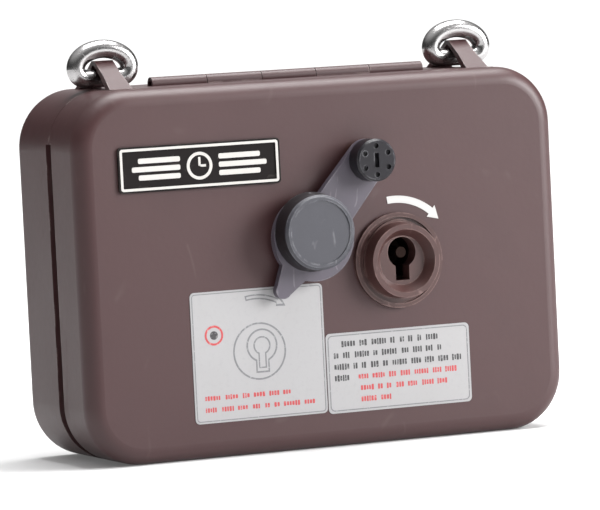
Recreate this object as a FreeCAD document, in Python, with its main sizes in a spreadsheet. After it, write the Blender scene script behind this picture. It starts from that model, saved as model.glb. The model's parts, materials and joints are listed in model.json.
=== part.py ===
import FreeCAD, Part
import Sketcher
import math
import os
import re

# Watchman's patrol clock: a hand-carried, key-operated time recorder.
#
# Frame: X to the right and Z up as seen from the front, Y towards the back, millimetres.
# The origin is at the middle of the bounding box, on the surface that the case stands on.
# Depths are counted backwards from the front face, so a negative depth stands proud of it.

Vector = FreeCAD.Vector
Rotation = FreeCAD.Rotation
Placement = FreeCAD.Placement
Y_AXIS = Vector(0, 1, 0)
ALONG_Y = Rotation(Vector(1, 0, 0), -90)
ALONG_X = Rotation(Y_AXIS, 90)

# ---------------------------------------------------------------- driving dimensions
DIMENSIONS = {
    # case
    "case_w": 152.4, "case_h": 108, "case_d": 50, "corner": 17, "wall": 2.6,
    "front_edge": 5, "rear_edge": 5, "parting": 22, "seam": 0.1,
    "groove_front": 20, "groove_rear": 24, "groove_top": 93,
    "lip_in": 2.9, "lip_t": 1.6, "lip_front": 17.5, "lip_rear": 26,
    "gasket_in": 1.6, "gasket_front": 20.6, "gasket_rear": 23.6, "gasket_top": 92.6,
    # hinge
    "hinge_z": 108.6, "barrel_r": 2, "barrel_l": 87, "hinge_pin_r": 1, "hinge_fit": 0.05,
    "knuckles": 5, "knuckle_gap": 0.2, "web": 2, "hinge_pin_inset": 1.2, "relief": 0.2,
    # strap lugs and rings
    "lug_x": 57, "lug_depth": 24.8, "lug_top": 116.2, "lug_bore_top": 114.9, "lug_half_top": 1,
    "lug_foot": 15.5, "lug_bore_foot": 13.6, "lug_w": 5.8, "lug_foot_w": 7.8, "lug_neck": 112,
    "tongue_w": 7.8, "tongue_tip": 8.2, "tongue_gap": 0.3,
    "ring_r": 2.7, "ring_z": 111.2, "ring_half_w": 8.3, "ring_rise": 8.4, "ring_bend": 2.9,
    # nameplate, labels and arrow
    "plate_x": -38.6, "plate_z": 85, "plate_w": 50.4, "plate_h": 13.2, "plate_t": 0.8,
    "plate_rim": 1.1, "plate_sink": 0.3, "plate_corner": 1.2,
    "label_t": 0.15, "label_corner": 1.4,
    "guide_label_x": -22.8, "guide_label_z": 29.5, "guide_label_w": 41.8, "guide_label_h": 38,
    "cover_label_x": 21.6, "cover_label_z": 21.7, "cover_label_w": 46.4, "cover_label_h": 23.4,
    "arrow_r": 17.8, "arrow_w": 2.1, "arrow_start": 98, "arrow_end": 50, "arrow_head": 11,
    "arrow_head_w": 4.2,
    # cover lock
    "lock_x": 22.8, "lock_z": 53.4, "lock_key_z": 55.8, "flange_r": 14, "flange_t": 1.3,
    "flange_lip": 12.7, "lock_r": 11.3, "lock_proud": 6.4, "dish_r": 9.2, "dish_floor_r": 7.2,
    "dish_depth": 3.2, "lock_hole_r": 4.5, "lock_stem_w": 4.4, "lock_stem": 8.2,
    "lock_body_r": 9.6, "lock_body_end": 11, "rotor_r": 8.2, "rotor_fit": 0.06, "rotor_stem": 7.2,
    "rotor_front": 1.5, "guide_pin_r": 1.6,
    "lock_nut_r": 11.9, "lock_nut_t": 3, "cam_front": 12.6, "cam_t": 2, "cam_w": 6,
    "cam_length": 14, "cam_screw_r": 3, "cam_screw_t": 1.2, "cam_stud_r": 1.6,
    # station keyhole and swing cap
    "key_x": -6.1, "key_z": 65, "station_z": 63.8, "station_r": 9.5, "station_proud": 1.5,
    "station_body_r": 8, "station_end": 3.8, "station_hole_r": 4.2, "station_stem_w": 4.2,
    "station_stem": 8.4,
    "pivot_x": 13.1, "pivot_z": 83.5, "arm_back": 1.8, "arm_t": 2.4, "arm_w": 12.2,
    "arm_disc_r": 12.7, "arm_disc_dx": 0.8, "arm_disc_dz": -1.8,
    "tab_angle": 234.5, "tab_reach": 18, "tab_r": 2.4, "tab_root_r": 5,
    "cap_base_r": 11.6, "cap_r": 10.9, "cap_proud": 11, "cap_edge": 0.7, "cap_rim": 0.9,
    "cap_sink": 0.3, "seal_r": 8.2, "seal_t": 1, "seal_sink": 0.8,
    "boss_r": 6.2, "boss_proud": 10.2, "boss_edge": 0.6, "pivot_r": 2.5, "pivot_fit": 0.06,
    "dimple_r": 0.75, "dimple_ring": 4.2, "dimple_depth": 0.8, "dimples": 6,
    "socket_w": 1.4, "socket_l": 4.2, "pivot_nut_r": 5, "pivot_nut_t": 3.2, "spacer_r": 5,
    # chassis
    "chassis_front": 43, "chassis_t": 1.5, "chassis_w": 140, "chassis_h": 94, "chassis_z": 54,
    "chassis_corner": 9, "post_x": 63.5, "post_dz": 40, "post_r": 3.4, "screw_r": 1.3,
    "screw_head_r": 2.6, "screw_head_t": 1.8,
    "bridge_front": 14, "bridge_t": 1.2, "bridge_left": -30, "bridge_right": 15.4,
    "bridge_low": 40.5, "bridge_high": 86, "bridge_corner": 3, "pillar_r": 2, "pillar_inset": 3.2,
    # printing works
    "barrel_front": 4.2, "barrel_back": 20.6, "key_barrel_r": 9, "key_fit": 0.06,
    "key_flange_r": 10.6, "key_flange_t": 1.2, "clip_r": 11, "clip_t": 1,
    "arbor_r": 2, "arbor_front": 21, "wheel_fit": 0.05, "wheel_r": 10, "wheel_root": 9.3,
    "wheel_t": 4, "wheel_pitch": 5, "day_front": 21.6,
    "gear_front": 37, "gear_t": 2.4, "gear_teeth": 30, "gear_add": 0.32, "gear_ded": 0.62,
    "tooth_share": 0.4, "gear_hub_r": 4.5,
    "tape_front": 17, "tape_w": 19, "tape_t": 0.2, "tape_gap": 0.1,
    "supply_x": -48, "supply_z": 77, "supply_r": 18.5, "core_r": 6,
    "takeup_x": -47, "takeup_z": 26, "takeup_r": 11, "spool_r": 16, "spool_flange_t": 1,
    "spindle_r": 2.5, "spindle_fit": 0.06,
    "guide_x": -25, "guide_z": 55.6, "guide_r": 2, "feed_x": 7, "feed_z": 49.2, "feed_r": 4,
    "feed_shaft_r": 1.5,
    "ratchet_r": 5, "ratchet_teeth": 12, "ratchet_front": 37.2, "ratchet_t": 1.4,
    "hammer_x": -21, "hammer_z": 46.6, "hammer_hub_r": 3, "hammer_pin_r": 1.5, "hammer_low": 45.2,
    "hammer_high": 48, "platen_left": -9.2, "platen_right": -3.2, "pad_t": 1.2,
    "hammer_front": 17.4, "hammer_back": 35.6, "hammer_arm_t": 2,
    "spring_r": 2.5, "spring_wire": 0.35, "spring_front": 36.2, "spring_turns": 5,
    # clock drive
    "clock_x": 46, "clock_z": 76, "module_w": 36, "module_front": 18, "module_back": 33,
    "module_corner": 3, "dial_r": 17.6, "dial_t": 0.8, "clock_shaft_r": 1.4,
    "hour_tube_r": 2.2, "hour_hand_l": 10.5, "minute_hand_l": 15, "hand_w": 2, "hand_t": 0.5,
    "hour_hand_front": 15.9, "minute_hand_front": 14.8, "knob_r": 4.6, "knob_front": 9.6,
    "knob_back": 13.4, "knob_teeth": 24,
    # power
    "cell_x": 30, "cell_z": 21.6, "cell_depth": 28.6, "cell_r": 13.1, "cell_l": 48.4,
    "cell_nub_r": 3.5, "cell_nub_l": 1.5, "cell_gap": 0.15, "cell_room": 3.4, "holder_l": 58.4,
    "holder_h": 29.4,
    "holder_front": 20, "contact_t": 0.4, "contact_w": 12, "contact_gap": 0.1,
    "coil_r": 5.6, "coil_step": 0.7, "coil_wire": 0.4, "coil_back": 2.9,
    "board_x": -14, "board_z": 23, "board_w": 26, "board_h": 26, "board_front": 39.4, "board_t": 1.6,
    "chip_left": 6, "chip_right": 4, "chip_low": 3, "chip_high": 4, "chip_t": 1.8, "crystal_r": 1.5,
    "crystal_left": 9, "crystal_right": 1, "crystal_low": 8, "crystal_rise": 1.4,
    "standoff_r": 1.6, "standoff_inset": 3.4,
    # striker
    "striker_left": 33.4, "striker_right": 41, "striker_low": 51.4, "striker_high": 57.4,
    "striker_front": 10.4, "striker_t": 1.6,
}
NODES = []


def cells(text):
    """Turn a formula in alias names into a spreadsheet expression."""
    return re.sub(r"[a-z][a-z_]+", lambda word: "Dims." + word.group(0), str(text))


def value(text):
    """The number that a formula in alias names gives."""
    return float(DOC.getObject("Dims").evalExpression(str(text)))


def make_sheet():
    """The driving dimensions as named cells, and the front face's place worked out from them."""
    sheet = DOC.addObject("Spreadsheet::Sheet", "Dims")
    for row, (alias, number) in enumerate(DIMENSIONS.items(), start=1):
        sheet.set(f"A{row}", alias)
        sheet.set(f"B{row}", str(number))
        sheet.setAlias(f"B{row}", alias)
    row = len(DIMENSIONS) + 1
    sheet.set(f"A{row}", "front_y")
    sheet.set(f"B{row}", "=(cap_proud - case_d) / 2")
    sheet.setAlias(f"B{row}", "front_y")
    DOC.recompute()


# ---------------------------------------------------------------- building blocks
def move_to(obj, x, y, z, turn=None):
    """Bind an object's place to three formulas."""
    obj.Placement = Placement(Vector(), turn or Rotation())
    for axis, text in zip("xyz", (x, y, z)):
        obj.setExpression("Placement.Base." + axis, cells(text))
    return obj


def depth(text):
    """A depth behind the front face as a Y formula."""
    return f"front_y + ({text})"


def rod(name, radius, start, end, x, z):
    """A cylinder along Y between two depths."""
    obj = DOC.addObject("Part::Cylinder", name)
    obj.setExpression("Radius", cells(radius))
    obj.setExpression("Height", cells(f"({end}) - ({start})"))
    return move_to(obj, x, depth(start), z, ALONG_Y)


def cross_rod(name, radius, left, right, at_depth, z):
    """A cylinder along X between two places."""
    obj = DOC.addObject("Part::Cylinder", name)
    obj.setExpression("Radius", cells(radius))
    obj.setExpression("Height", cells(f"({right}) - ({left})"))
    return move_to(obj, left, depth(at_depth), z, ALONG_X)


def taper(name, front_radius, back_radius, start, end, x, z):
    """A cone along Y between two depths."""
    obj = DOC.addObject("Part::Cone", name)
    obj.setExpression("Radius1", cells(front_radius))
    obj.setExpression("Radius2", cells(back_radius))
    obj.setExpression("Height", cells(f"({end}) - ({start})"))
    return move_to(obj, x, depth(start), z, ALONG_Y)


def slab(name, left, right, start, end, low, high):
    """A box between two places on each axis, with Y given as depths."""
    obj = DOC.addObject("Part::Box", name)
    obj.setExpression("Length", cells(f"({right}) - ({left})"))
    obj.setExpression("Width", cells(f"({end}) - ({start})"))
    obj.setExpression("Height", cells(f"({high}) - ({low})"))
    return move_to(obj, left, depth(start), low)


def plane(body, role):
    """One of a body's own origin planes."""
    return next(item for item in body.Origin.OriginFeatures if item.Role == role)


def centred_rectangle(body, name, width, height):
    """A sketch in XZ of a rectangle about the body's origin, its sides bound to two formulas."""
    sketch = body.newObject("Sketcher::SketchObject", name)
    sketch.AttachmentSupport = [(plane(body, "XZ_Plane"), "")]
    sketch.MapMode = "FlatFace"
    half_w = value(width) / 2
    half_h = value(height) / 2
    points = [Vector(-half_w, -half_h), Vector(half_w, -half_h), Vector(half_w, half_h),
              Vector(-half_w, half_h)]
    for start, end in zip(points, points[1:] + points[:1]):
        sketch.addGeometry(Part.LineSegment(start, end))
    for line in range(4):
        sketch.addConstraint(Sketcher.Constraint("Coincident", line, 2, (line + 1) % 4, 1))
    for line, kind in enumerate(("Horizontal", "Vertical", "Horizontal", "Vertical")):
        sketch.addConstraint(Sketcher.Constraint(kind, line))
    sketch.addConstraint(Sketcher.Constraint("Symmetric", 0, 1, 1, 2, -1, 1))
    wide = sketch.addConstraint(Sketcher.Constraint("DistanceX", 0, 1, 0, 2, 2 * half_w))
    high = sketch.addConstraint(Sketcher.Constraint("DistanceY", 1, 1, 1, 2, 2 * half_h))
    sketch.setExpression(f"Constraints[{wide}]", cells(width))
    sketch.setExpression(f"Constraints[{high}]", cells(height))
    return sketch


def edge_names(shape, wanted):
    """The names of the edges that a test picks."""
    return [f"Edge{number}" for number, edge in enumerate(shape.Edges, start=1) if wanted(edge)]


def runs_back(edge):
    """True for a straight edge along Y."""
    return edge.Curve.TypeId == "Part::GeomLine" and abs(edge.tangentAt(edge.FirstParameter).y) > 0.9


def round_edges(body, feature, name, radius, wanted):
    """A fillet on the picked edges of a body's last feature."""
    fillet = body.newObject("PartDesign::Fillet", name)
    fillet.Base = (feature, edge_names(feature.Shape, wanted))
    fillet.setExpression("Radius", cells(radius))
    DOC.recompute()
    return fillet


def rounded_block(name, width, height, corner, start, end, x="0", z="case_h / 2", front=None, back=None):
    """A padded rectangle with round corners, and round front and back edges if asked for."""
    body = DOC.addObject("PartDesign::Body", name)
    sketch = centred_rectangle(body, name + "_outline", width, height)
    pad = body.newObject("PartDesign::Pad", name + "_pad")
    pad.Profile = sketch
    pad.Reversed = True
    pad.setExpression("Length", cells(f"({end}) - ({start})"))
    DOC.recompute()
    length = value(f"({end}) - ({start})")
    last = round_edges(body, pad, name + "_corners", corner, runs_back)
    if front:
        last = round_edges(body, last, name + "_front", front, lambda edge: edge.BoundBox.YMax < TINY)
    if back:
        last = round_edges(body, last, name + "_back", back,
                           lambda edge: edge.BoundBox.YMin > length - TINY)
    body.Tip = last
    return move_to(body, x, depth(start), z)


def cut(name, base, *tools):
    """The base with every tool taken away."""
    tool = tools[0] if len(tools) == 1 else join(name + "_tools", *tools)
    obj = DOC.addObject("Part::Cut", name)
    obj.Base = base
    obj.Tool = tool
    return obj


def join(name, *parts):
    """Several shapes as one."""
    obj = DOC.addObject("Part::MultiFuse", name)
    obj.Shapes = list(parts)
    obj.Refine = True
    return obj


def group(name, parts):
    """Several separate solids in one node."""
    obj = DOC.addObject("Part::Compound", name)
    obj.Links = list(parts)
    return obj


def feature(name, shape):
    """A shape worked out from the sheet's numbers."""
    obj = DOC.addObject("Part::Feature", name)
    obj.Shape = shape
    return obj


def prism_along_y(points, start, end):
    """A solid with an outline in XZ between two depths."""
    front = value(depth(start))
    wire = Part.makePolygon([Vector(x, front, z) for x, z in points + points[:1]])
    return Part.Face(wire).extrude(Y_AXIS * (value(end) - value(start)))


def prism_along_x(points, left, right):
    """A solid with an outline in depth and Z between two places on X."""
    front = value("front_y")
    wire = Part.makePolygon([Vector(left, front + back, z) for back, z in points + points[:1]])
    return Part.Face(wire).extrude(Vector(right - left, 0, 0))


def toothed_outline(teeth, tip, root, share, phase):
    """The points of a wheel whose first tooth is centred on an angle, in degrees."""
    points = []
    step = 360 / teeth
    for tooth in range(teeth):
        middle = phase + tooth * step
        for radius, turn in ((root, -share), (tip, -share / 2), (tip, share / 2), (root, share)):
            angle = math.radians(middle + turn * step / 2 * 1.5)
            points.append((radius * math.cos(angle), radius * math.sin(angle)))
    return points


def toothed_wheel(name, teeth, tip, root, start, end, x, z, phase=0):
    """A solid toothed wheel along Y between two depths."""
    outline = toothed_outline(teeth, tip, root, value("tooth_share"), phase)
    centre_x = value(x)
    centre_z = value(z)
    points = [(centre_x + across, centre_z + up) for across, up in outline]
    return feature(name, prism_along_y(points, start, end))


def node(label, obj):
    """Name an object as one of the clock's pieces."""
    obj.Label = label
    NODES.append(obj)
    return obj


def keyhole(name, hole_r, stem_w, stem, start, end, x, z):
    """The tool for a keyhole: a round hole with a stem below it."""
    hole = rod(name + "_round", hole_r, start, end, x, z)
    half = f"({stem_w}) / 2"
    stem = slab(name + "_stem", f"{x} - {half}", f"{x} + {half}", start, end, f"{z} - ({stem})", z)
    return join(name, hole, stem)


# ---------------------------------------------------------------- case
def inset_block(name, inset, start, end, front=None, back=None):
    """A block that follows the case's outline at an inset."""
    return rounded_block(
        name, f"case_w - 2 * {inset}", f"case_h - 2 * {inset}", f"corner - {inset}", start, end,
        front=front, back=back,
    )


def knuckle_span(index):
    """The left and right ends of one hinge knuckle."""
    pitch = "(barrel_l + knuckle_gap) / knuckles"
    left = f"-barrel_l / 2 + {index} * {pitch}"
    return left, f"{left} + {pitch} - knuckle_gap"


def knuckle(owner, index, side):
    """One hinge knuckle with the web that joins it to its shell; side is -1 in front, 1 behind."""
    left, right = knuckle_span(index)
    tube = cross_rod(f"{owner}_tube_{index}", "barrel_r", left, right, "parting", "hinge_z")
    middle = value("parting")
    top = value("hinge_z")
    low = value("case_h - wall / 2")
    seam = value("seam") * side
    points = [
        (middle + seam, low),
        (middle + seam, top),
        (middle + side * value("barrel_r"), top),
        (middle + side * value("web"), low),
    ]
    web = feature(f"{owner}_web_{index}", prism_along_x(points, value(left), value(right)))
    return [tube, web]


def knuckle_relief(owner, index):
    """The room that a shell leaves around the other shell's knuckle."""
    left, right = knuckle_span(index)
    return cross_rod(
        f"{owner}_relief_{index}", "barrel_r + relief", f"{left} - knuckle_gap", f"{right} + knuckle_gap",
        "parting", "hinge_z",
    )


def tongue_slot(side):
    """The slot in the cover's top for one of the rear case's lug tongues."""
    middle = f"{side} * lug_x"
    half = "(tongue_w / 2 + tongue_gap)"
    return slab(
        f"tongue_slot_{side + 1}", f"{middle} - {half}", f"{middle} + {half}",
        "tongue_tip - tongue_gap", "parting + 1", "case_h - 2 * wall", "case_h + 1",
    )


def front_cover():
    """The front shell with its hinge knuckles, its keyholes and its slots for the lugs."""
    shell = rounded_block("cover_outside", "case_w", "case_h", "corner", "0", "parting - seam",
                          front="front_edge")
    hollow = inset_block("cover_inside", "wall", "wall", "parting + 1", front="front_edge - wall")
    rim_cut = slab("cover_rim_cut", "-case_w", "case_w", "groove_front", "parting + 1", "-1", "groove_top")
    tools = [hollow, rim_cut] + [tongue_slot(side) for side in SIDES]
    tools += [knuckle_relief("cover", index) for index in range(0, 5, 2)]
    tools.append(rod("lock_bore", "lock_body_r", "-1", "wall + 1", "lock_x", "lock_key_z"))
    tools.append(rod("station_bore", "station_body_r", "-1", "wall + 1", "key_x", "station_z"))
    tools.append(rod("pivot_bore", "pivot_r", "-1", "wall + 1", "pivot_x", "pivot_z"))
    body = cut("cover_shell", shell, *tools)
    knuckles = []
    for index in range(1, 5, 2):
        knuckles += knuckle("cover", index, -1)
    bore = cross_rod("cover_hinge_bore", "hinge_pin_r + hinge_fit", "-barrel_l", "barrel_l", "parting",
                     "hinge_z")
    node("front_cover", cut("front_cover_shape", join("cover_with_knuckles", body, *knuckles), bore))


def lug(side):
    """A tent-shaped strap lug across the top, wider at its feet, with its forward tongue."""
    middle = value("lug_x") * side
    half = value("lug_foot_w") / 2
    centre = value("lug_depth")
    low = value("case_h - 1")
    foot = value("lug_foot")
    bore = value("lug_bore_foot")
    crest = value("lug_half_top")
    outer = [(centre - foot, low), (centre - crest, value("lug_top")), (centre + crest, value("lug_top")),
             (centre + foot, low)]
    inner = [(centre - bore, low - 1), (centre - crest / 2, value("lug_bore_top")),
             (centre + crest / 2, value("lug_bore_top")), (centre + bore, low - 1)]
    tent = prism_along_x(outer, middle - half, middle + half)
    tent = tent.cut(prism_along_x(inner, middle - half - 1, middle + half + 1))
    neck = value("lug_w") / 2
    outline = [(middle - half, low - 1), (middle + half, low - 1), (middle + neck, value("lug_neck")),
               (middle + neck, value("lug_top") + 1), (middle - neck, value("lug_top") + 1),
               (middle - neck, value("lug_neck"))]
    strap = tent.common(prism_along_y(outline, "0", "case_d"))
    tongue = slab(
        f"tongue_{side + 1}", f"{side} * lug_x - tongue_w / 2", f"{side} * lug_x + tongue_w / 2",
        "tongue_tip", "parting + 1", "case_h - wall", "case_h",
    )
    return [feature(f"lug_{side + 1}", strap), tongue]


def rear_case():
    """The rear shell with its lip, its chassis posts, its knuckles and its strap lugs."""
    shell = rounded_block("case_outside", "case_w", "case_h", "corner", "parting + seam", "case_d",
                          back="rear_edge")
    hollow = inset_block("case_inside", "wall", "parting - 1", "case_d - wall", back="rear_edge - wall")
    groove = slab("case_groove_cut", "-case_w", "case_w", "parting - 1", "groove_rear", "-1", "groove_top")
    reliefs = [knuckle_relief("case", index) for index in range(1, 5, 2)]
    walls = cut("case_walls", shell, hollow, groove, *reliefs)
    lip = cut(
        "case_lip", inset_block("lip_outside", "lip_in", "lip_front", "lip_rear"),
        inset_block("lip_inside", "(lip_in + lip_t)", "lip_front - 1", "lip_rear + 1"),
    )
    band = cut(
        "lip_root", inset_block("root_outside", "(wall - 0.4)", "groove_rear", "lip_rear"),
        inset_block("root_inside", "(lip_in + lip_t - 0.1)", "groove_rear - 1", "lip_rear + 1"),
    )
    parts = [walls, lip, band]
    for side in SIDES:
        parts += lug(side)
    for index in range(0, 5, 2):
        parts += knuckle("case", index, 1)
    for number, (x, z) in enumerate(chassis_corners()):
        parts.append(rod(f"case_post_{number}", "post_r", "chassis_front + chassis_t",
                         "case_d - wall + 0.5", x, z))
    bore = cross_rod("case_hinge_bore", "hinge_pin_r", "-barrel_l", "barrel_l", "parting", "hinge_z")
    holes = [
        rod(f"post_hole_{number}", "screw_r", "chassis_front", "case_d - wall", x, z)
        for number, (x, z) in enumerate(chassis_corners())
    ]
    node("rear_case", cut("rear_case_shape", join("case_joined", *parts), bore, *holes))


def case_fittings():
    """The rubber gasket in the finger groove and the hinge pin."""
    ring = cut(
        "gasket_ring", inset_block("gasket_outside", "gasket_in", "gasket_front", "gasket_rear"),
        inset_block("gasket_inside", "lip_in", "gasket_front - 1", "gasket_rear + 1"),
    )
    above = slab("above_gasket", "-case_w", "case_w", "0", "case_d", "gasket_top", "case_h + 1")
    node("case_gasket", cut("gasket_shape", ring, above))
    end = "(barrel_l / 2 - hinge_pin_inset)"
    node("hinge_pin", cross_rod("hinge_pin_shape", "hinge_pin_r", f"-{end}", end, "parting", "hinge_z"))


def strap_ring(side, label):
    """A D-shaped ring of round wire: a straight bar under the lug and an arched crown."""
    half = value("ring_half_w")
    bend = value("ring_bend")
    slant = bend * (1 - math.sqrt(0.5))
    first = Vector(bend - half, 0, 0)
    ends = [Vector(half - bend, 0, 0), Vector(half, 0, bend), Vector(-half, 0, bend)]
    crown = Part.Ellipse(ends[1], Vector(0, 0, value("ring_rise")), Vector(0, 0, bend))
    edges = [
        Part.LineSegment(first, ends[0]),
        Part.Arc(ends[0], Vector(half - slant, 0, slant), ends[1]),
        Part.ArcOfEllipse(crown, 0, math.pi),
        Part.Arc(ends[2], Vector(slant - half, 0, slant), first),
    ]
    path = Part.Wire([edge.toShape() for edge in edges])
    section = Part.Wire(Part.makeCircle(value("ring_r"), first, Vector(1, 0, 0)))
    ring = feature(label + "_shape", path.makePipeShell([section], True, True))
    ring.Placement = Placement(Vector(side * value("lug_x"), value(depth("lug_depth")), value("ring_z")),
                               Rotation())
    node(label, ring)


# ---------------------------------------------------------------- face of the cover
def face_labels():
    """The raised nameplate, the two labels and the printed arrow."""
    plate = rounded_block(
        "plate_blank", "plate_w", "plate_h", "plate_corner", "-plate_t", "0", x="plate_x", z="plate_z",
    )
    sink = rounded_block(
        "plate_field", "plate_w - 2 * plate_rim", "plate_h - 2 * plate_rim", "plate_corner / 2",
        "-plate_t - 1", "-plate_t + plate_sink", x="plate_x", z="plate_z",
    )
    node("nameplate", cut("nameplate_shape", plate, sink))
    for label, prefix in (("key_turn_label", "guide_label"), ("cover_label", "cover_label")):
        node(label, rounded_block(
            label + "_shape", prefix + "_w", prefix + "_h", "label_corner", "-label_t", "0",
            x=prefix + "_x", z=prefix + "_z",
        ))
    node("turn_arrow", feature("turn_arrow_shape", arrow_shape()))


def arrow_shape():
    """A clockwise arc with a pointed head, as a thin layer on the face."""
    centre = Vector(value("lock_x"), 0, value("lock_z"))
    middle = value("arrow_r")
    half = value("arrow_w / 2")

    def at(radius, angle):
        turn = math.radians(angle)
        return centre + Vector(radius * math.cos(turn), 0, radius * math.sin(turn))

    start = value("arrow_start")
    end = value("arrow_end")
    halfway = (start + end) / 2
    wide = value("arrow_head_w / 2")
    tip = at(middle, end - value("arrow_head"))
    edges = [
        Part.Arc(at(middle + half, start), at(middle + half, halfway), at(middle + half, end)).toShape(),
        Part.LineSegment(at(middle + half, end), at(middle + wide, end)).toShape(),
        Part.LineSegment(at(middle + wide, end), tip).toShape(),
        Part.LineSegment(tip, at(middle - wide, end)).toShape(),
        Part.LineSegment(at(middle - wide, end), at(middle - half, end)).toShape(),
        Part.Arc(at(middle - half, end), at(middle - half, halfway), at(middle - half, start)).toShape(),
        Part.LineSegment(at(middle - half, start), at(middle + half, start)).toShape(),
    ]
    layer = Part.Face(Part.Wire(edges)).extrude(Y_AXIS * value("label_t"))
    layer.translate(Vector(0, value(depth("-label_t")), 0))
    return layer


def cover_lock():
    """The lock's housing with its dished keyhole, its nut, and the turning rotor with its cam.

    The raised head is centred a little below the keyhole, and all that turns is centred on it.
    """
    at = ("lock_x", "lock_z")
    turns = ("lock_x", "lock_key_z")
    flange = rod("lock_flange", "flange_r", "-flange_t", "0", *at)
    channel = cut(
        "lock_channel", rod("channel_outside", "flange_lip", "-flange_t - 1", "-flange_t / 3", *at),
        rod("channel_inside", "lock_r", "-flange_t - 2", "0", *at),
    )
    head = taper("lock_head", "lock_r - 0.5", "lock_r", "-lock_proud", "0", *at)
    barrel = rod("lock_barrel", "lock_body_r", "-flange_t", "lock_body_end", *turns)
    dish = taper("lock_dish", "dish_r", "dish_floor_r", "-lock_proud - 0.01", "-lock_proud + dish_depth",
                 *at)
    hole = keyhole("lock_keyhole", "lock_hole_r", "lock_stem_w", "lock_stem", "-lock_proud",
                   "rotor_front + 1",
                   *turns)
    chamber = rod("lock_chamber", "rotor_r + rotor_fit", "rotor_front", "lock_body_end + 1", *turns)
    outside = join("lock_outside", flange, head)
    shaped = cut("lock_shaped", outside, channel, dish)
    node("lock_housing", cut("lock_housing_shape", join("lock_blank", shaped, barrel), hole, chamber))
    nut = rod("lock_nut_blank", "lock_nut_r", "wall", "wall + lock_nut_t", *turns)
    node("lock_nut", cut("lock_nut_shape", nut, rod("lock_nut_bore", "lock_body_r", "wall - 1",
                                                    "wall + 9", *turns)))
    rotor = rod("rotor_blank", "rotor_r", "rotor_front + 0.1", "cam_front", *turns)
    slot = keyhole("rotor_keyhole", "lock_hole_r", "lock_stem_w", "rotor_stem", "0", "lock_body_end - 3",
                   *turns)
    pin = rod("guide_pin", "guide_pin_r", "-lock_proud + dish_depth + 0.6", "lock_body_end - 2", *turns)
    stud = rod("cam_stud", "cam_stud_r", "cam_front - 1", "cam_front + cam_t", *turns)
    node("lock_rotor", join("rotor_shape", cut("rotor_bored", rotor, slot), pin, stud))
    arm = slab("cam_arm", "lock_x - cam_w / 2", "lock_x + cam_w / 2", "cam_front", "cam_front + cam_t",
               "lock_key_z",
               "lock_key_z + cam_length")
    disc = rod("cam_disc", "cam_w / 2 + 1", "cam_front", "cam_front + cam_t", *turns)
    hub = rod("cam_bore", "cam_stud_r", "cam_front - 1", "cam_front + cam_t + 1", *turns)
    node("lock_cam", cut("cam_shape", join("cam_blank", arm, disc), hub))
    node("cam_screw", rod("cam_screw_shape", "cam_screw_r", "cam_front + cam_t",
                          "cam_front + cam_t + cam_screw_t",
                          *turns))


def station_keyhole():
    """The raised keyhole plate that the swing cap covers."""
    rim = rod("station_rim", "station_r", "-station_proud", "0", "key_x", "station_z")
    sleeve = rod("station_sleeve", "station_body_r", "-station_proud", "station_end", "key_x", "station_z")
    hole = keyhole(
        "station_hole", "station_hole_r", "station_stem_w", "station_stem", "-station_proud - 1",
        "station_end + 1", "key_x", "key_z",
    )
    node("station_keyhole", cut("station_shape", join("station_blank", rim, sleeve), hole))


def arm_outline():
    """The swing arm seen from the front: pivot end, disc and pointed finger tab in one plate."""
    pivot = Vector(value("pivot_x"), 0, value("pivot_z"))
    cap = Vector(value("key_x"), 0, value("station_z"))
    disc = cap + Vector(value("arm_disc_dx"), 0, value("arm_disc_dz"))
    angle = math.radians(value("tab_angle"))
    tip = disc + Vector(math.cos(angle), 0, math.sin(angle)) * value("tab_reach")
    thick = value("arm_t")
    start = Vector(0, value(depth("-arm_back - arm_t")), 0)

    def disc_at(centre, radius):
        return Part.makeCylinder(radius, thick, centre + start, Y_AXIS)

    def bar(first, second, first_half, second_half):
        along = (second - first).normalize()
        side = along.cross(Y_AXIS)
        points = [first + side * first_half, second + side * second_half, second - side * second_half,
                  first - side * first_half]
        wire = Part.makePolygon([point + start for point in points + points[:1]])
        return Part.Face(wire).extrude(Y_AXIS * thick)

    half = value("arm_w / 2")
    tab_root = disc + (tip - disc).normalize() * value("arm_disc_r - 3")
    shape = disc_at(pivot, half).fuse([
        disc_at(disc, value("arm_disc_r")), bar(pivot, disc, half, half + 0.6),
        disc_at(tip, value("tab_r")),
        bar(tab_root, tip, value("tab_root_r"), value("tab_r")),
    ])
    return shape.removeSplitter()


def swing_cap():
    """The swing arm, the round cap on it and the rubber seal under it."""
    bore = rod("arm_bore", "pivot_r + pivot_fit", "-arm_back - arm_t - 1", "0", "pivot_x", "pivot_z")
    pocket = rod("seal_pocket", "seal_r", "-arm_back - seal_sink", "0", "key_x", "station_z")
    node("swing_arm", cut("swing_arm_shape", feature("arm_plate", arm_outline()), bore, pocket))
    node("cap_seal", rod("cap_seal_shape", "seal_r", "-arm_back - seal_sink",
                         "-arm_back - seal_sink + seal_t",
                         "key_x", "station_z"))
    at = ("key_x", "station_z")
    skirt = taper("cap_skirt", "cap_r", "cap_base_r", "-cap_proud + cap_edge", "-arm_back - arm_t", *at)
    edge = taper("cap_edge_bevel", "cap_r - cap_edge", "cap_r", "-cap_proud", "-cap_proud + cap_edge", *at)
    sink = rod("cap_field", "cap_r - cap_edge - cap_rim", "-cap_proud - 1", "-cap_proud + cap_sink", *at)
    node("dust_cap", cut("dust_cap_shape", join("cap_blank", skirt, edge), sink))


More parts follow.
